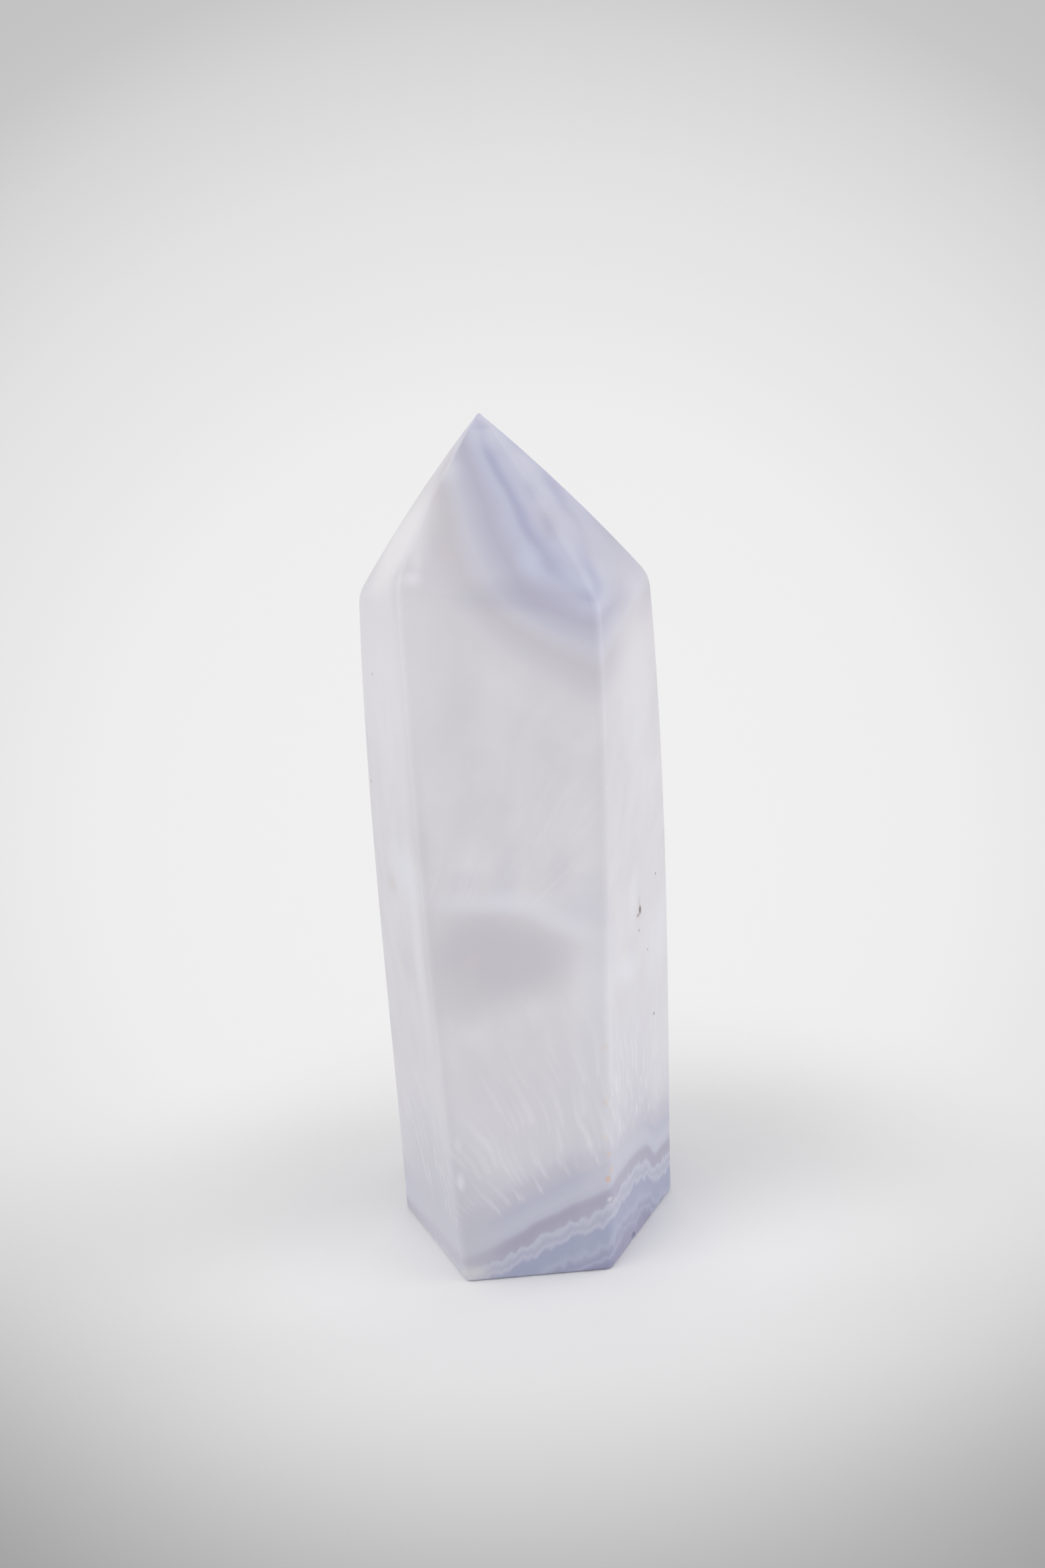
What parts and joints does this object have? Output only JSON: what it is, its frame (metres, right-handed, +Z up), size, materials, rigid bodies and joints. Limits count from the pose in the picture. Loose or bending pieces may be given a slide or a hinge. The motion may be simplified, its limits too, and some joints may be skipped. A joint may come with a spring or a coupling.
{
  "type": "blue lace agate tower",
  "caption": "Polished six-sided stone column with a six-facet pointed top and a flat base, free-standing, in pale banded blue-grey chalcedony.",
  "frame": {"origin": "centre of the stone's plan, on the flat base that it stands on", "axes": "+Z up along the column to the tip, -Y out of the front face, +X to the right of the front face"},
  "size_m": [0.0282, 0.027, 0.076],
  "materials": {
    "agate": "polished, slightly translucent"
  },
  "bodies": {
    "root": {"agate_tower": "agate"}
  },
  "joints": []
}
